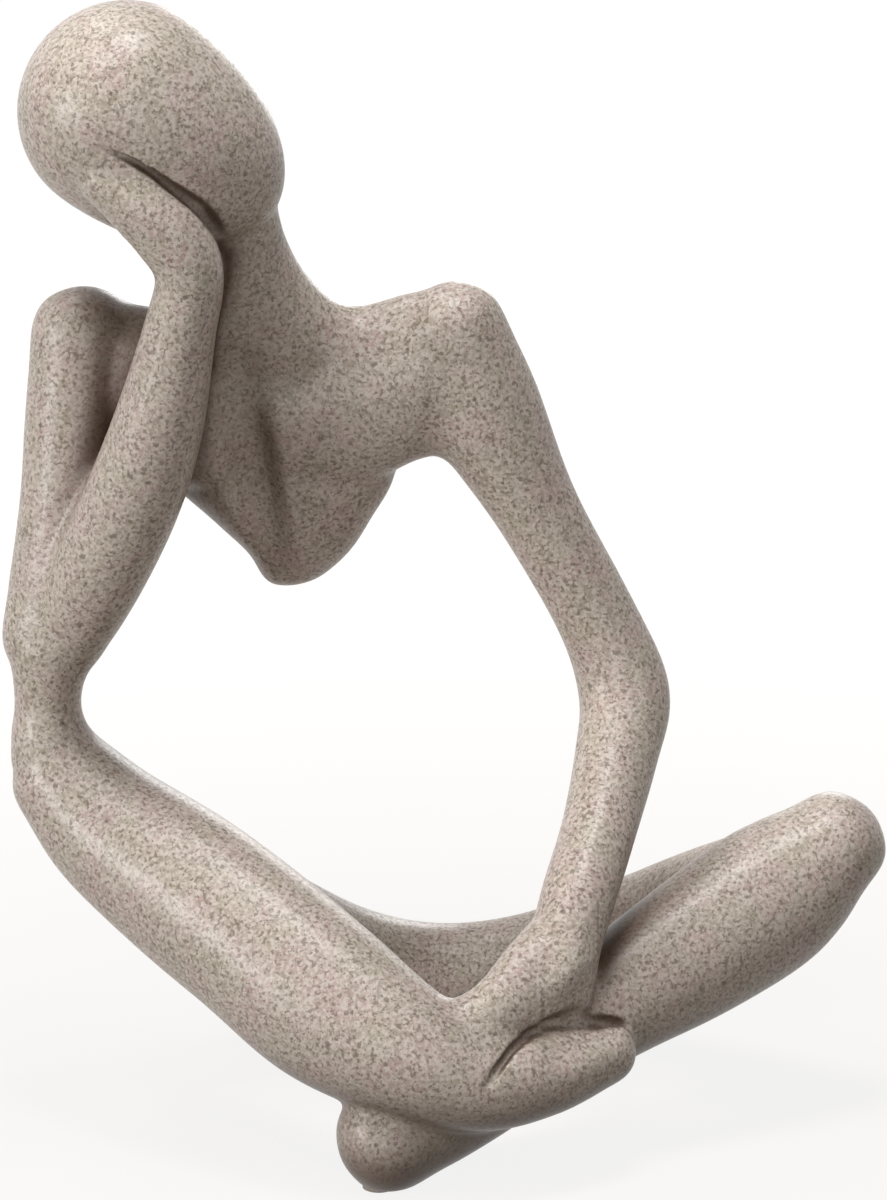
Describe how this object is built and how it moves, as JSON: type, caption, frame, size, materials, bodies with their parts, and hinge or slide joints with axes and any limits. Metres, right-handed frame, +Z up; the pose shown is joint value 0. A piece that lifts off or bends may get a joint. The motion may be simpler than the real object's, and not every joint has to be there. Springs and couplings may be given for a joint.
{
  "type": "seated thinker figurine",
  "caption": "Abstract faceless figure seated with crossed shins, cheek on one hand and elbow on the raised knee; a free-standing speckled stone-look ornament.",
  "frame": {"origin": "on the supporting surface, under the middle of the figure's outline seen from above", "axes": "+Z up, -Y the way the figure faces, +X to the figure's left hand side"},
  "size_m": [0.1952, 0.1166, 0.249],
  "materials": {
    "stone_resin": "satin speckled sandstone effect",
    "dowel_steel": "plain ground",
    "felt_pad": "sand-coloured felt"
  },
  "bodies": {
    "root": {"head": "stone_resin", "torso": "stone_resin", "right_arm": "stone_resin", "left_arm": "stone_resin", "right_leg": "stone_resin", "left_leg": "stone_resin", "neck_pin": "dowel_steel", "right_shoulder_pin": "dowel_steel", "left_shoulder_pin": "dowel_steel", "hip_pin": "dowel_steel", "elbow_pin": "dowel_steel", "cheek_pin": "dowel_steel", "hand_pin": "dowel_steel", "ankle_pin": "dowel_steel", "seat_pad_right": "felt_pad", "seat_pad_left": "felt_pad", "foot_pad": "felt_pad"}
  },
  "joints": []
}
